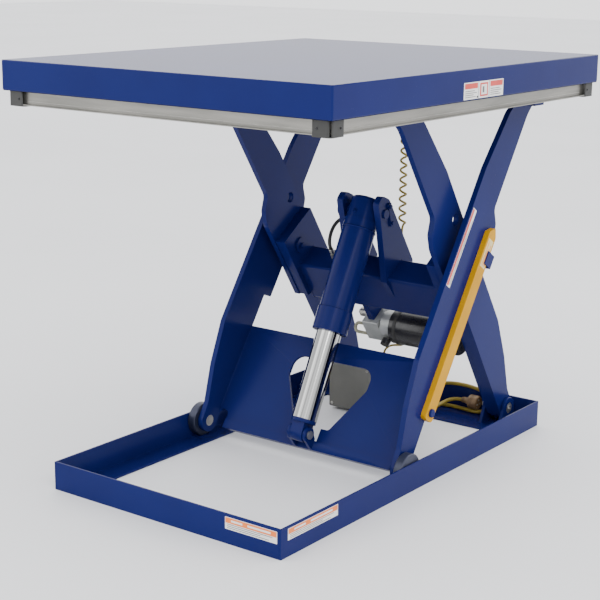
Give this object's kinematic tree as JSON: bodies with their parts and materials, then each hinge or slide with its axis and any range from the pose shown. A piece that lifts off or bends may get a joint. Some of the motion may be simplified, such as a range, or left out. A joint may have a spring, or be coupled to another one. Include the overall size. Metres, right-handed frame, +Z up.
{
  "type": "hydraulic scissor lift table",
  "caption": "Electric-hydraulic scissor lift table with a rectangular platform, one pair of scissor legs, a folding maintenance bar and an open base frame.",
  "frame": {"origin": "on the floor under the middle of the whole table's box", "axes": "+X towards the end with the fixed leg pivots, +Y to the side away from the maintenance bar, +Z up"},
  "size_m": [1.534, 1.219, 1.331],
  "materials": {
    "blue_paint": "gloss",
    "yellow_paint": "gloss",
    "grey_paint": "satin",
    "grey_block": "matte",
    "guard_aluminium": "brushed",
    "corner_plastic": "matte",
    "black_housing": "gloss",
    "zinc_steel": "satin",
    "chrome_rod": "polished",
    "hose_rubber": "matte",
    "cord_yellow": "matte",
    "plug_brown": "matte",
    "roller_steel": "satin",
    "motor_iron": "matte"
  },
  "bodies": {
    "base": {"base_side_rails": "blue_paint", "base_end_rails": "blue_paint", "base_end_plate": "blue_paint", "lower_pivot_lugs": "blue_paint", "lower_pivot_pins": "zinc_steel", "control_box_bracket": "grey_paint", "control_box": "grey_paint", "control_box_cover": "grey_paint", "cable_glands": "corner_plastic", "power_cord": "cord_yellow", "power_plug": "plug_brown", "switch_lead_lower": "cord_yellow"},
    "outer_scissor": {"outer_legs": "blue_paint", "centre_pins": "blue_paint", "lower_roller_axles": "zinc_steel", "torque_plate": "blue_paint", "foot_bar": "blue_paint", "rod_pin": "zinc_steel", "safety_bar_bolt": "blue_paint", "safety_bar_clip": "blue_paint"},
    "inner_scissor": {"inner_legs": "blue_paint", "leg_doublers": "blue_paint", "upper_roller_axles": "zinc_steel", "cross_tube": "blue_paint", "cylinder_ears": "blue_paint", "head_pin": "blue_paint", "head_pin_keeper": "blue_paint", "oil_tank": "black_housing", "pump_motor": "motor_iron", "pump_adapter": "grey_block", "valve_block": "grey_block", "power_unit_bracket": "blue_paint", "lowering_valve": "zinc_steel", "filler_cap": "black_housing", "tube_port_fitting": "zinc_steel", "return_tube": "hose_rubber"},
    "cylinder": {"cylinder_head": "blue_paint", "cylinder_barrel": "blue_paint", "cylinder_gland": "blue_paint", "head_port_fitting": "zinc_steel", "hydraulic_hose": "hose_rubber"},
    "rod": {"cylinder_rod": "chrome_rod", "cylinder_piston": "zinc_steel", "rod_end_saddle": "blue_paint"},
    "lower_roller_n": {"lower_roller_near": "roller_steel"},
    "lower_roller_f": {"lower_roller_far": "roller_steel"},
    "upper_roller_n": {"upper_roller_near": "roller_steel"},
    "upper_roller_f": {"upper_roller_far": "roller_steel"},
    "maintenance_bar": {"safety_bar": "yellow_paint"},
    "platform": {"platform_deck": "blue_paint", "roller_tracks": "blue_paint", "deck_stiffeners": "blue_paint", "upper_pivot_lugs": "blue_paint", "upper_pivot_pins": "zinc_steel", "toe_guard_hangers": "zinc_steel", "toe_guard_springs": "zinc_steel", "guard_switch_box": "corner_plastic", "switch_lead_curly": "cord_yellow"},
    "toe_guard": {"toe_guard_rails": "guard_aluminium", "toe_guard_corners": "corner_plastic"}
  },
  "joints": [
    {"name": "lift", "type": "hinge", "parent": "base", "child": "inner_scissor", "pos_m": [0.707, 0, 0.064], "axis": [0, 1, 0], "range_deg": [-53.4, 0], "deforming": ["switch_lead_lower", "switch_lead_curly"]},
    {"name": "scissor_centre", "type": "hinge", "parent": "inner_scissor", "child": "outer_scissor", "pos_m": [0.31797, 0, 0.6375], "axis": [0, 1, 0], "range_deg": [0, 106.82]},
    {"name": "platform_pivot", "type": "hinge", "parent": "outer_scissor", "child": "platform", "pos_m": [0.707, 0, 1.211], "axis": [0, 1, 0], "range_deg": [-53.41, 0]},
    {"name": "cylinder_trunnion", "type": "hinge", "parent": "inner_scissor", "child": "cylinder", "pos_m": [0.28676, 0, 0.79698], "axis": [0, 1, 0], "range_deg": [0, 107.37], "deforming": ["hydraulic_hose"]},
    {"name": "rod_stroke", "type": "slide", "parent": "cylinder", "child": "rod", "axis": [-0.4483, 0, -0.8939], "range_m": [-0.2612, 0]},
    {"name": "lower_roller_near_turn", "type": "hinge", "parent": "outer_scissor", "child": "lower_roller_n", "pos_m": [-0.07107, -0.424, 0.064], "axis": [0, 1, 0], "continuous": true},
    {"name": "lower_roller_far_turn", "type": "hinge", "parent": "outer_scissor", "child": "lower_roller_f", "pos_m": [-0.07107, 0.424, 0.064], "axis": [0, 1, 0], "continuous": true},
    {"name": "upper_roller_near_turn", "type": "hinge", "parent": "inner_scissor", "child": "upper_roller_n", "pos_m": [-0.07107, -0.3675, 1.211], "axis": [0, 1, 0], "continuous": true},
    {"name": "upper_roller_far_turn", "type": "hinge", "parent": "inner_scissor", "child": "upper_roller_f", "pos_m": [-0.07107, 0.3675, 1.211], "axis": [0, 1, 0], "continuous": true},
    {"name": "safety_bar_swing", "type": "hinge", "parent": "outer_scissor", "child": "maintenance_bar", "pos_m": [0.0622, -0.41625, 0.2213], "axis": [0, -1, 0], "range_deg": [0, 136]},
    {"name": "toe_guard_lift", "type": "slide", "parent": "platform", "child": "toe_guard", "axis": [0, 0, 1], "range_m": [0, 0.008], "stiffness_N_per_m": 3000, "springref_m": -0.012, "deforming": ["toe_guard_springs"]}
  ],
  "couplings": [
    {"joint": "scissor_centre", "follows": "lift", "ratio": -2},
    {"joint": "platform_pivot", "follows": "lift", "ratio": 1},
    {"joint": "cylinder_trunnion", "follows": "lift", "ratio": -2.0103},
    {"joint": "rod_stroke", "follows": "lift", "m_per_rad": 0.27988}
  ]
}
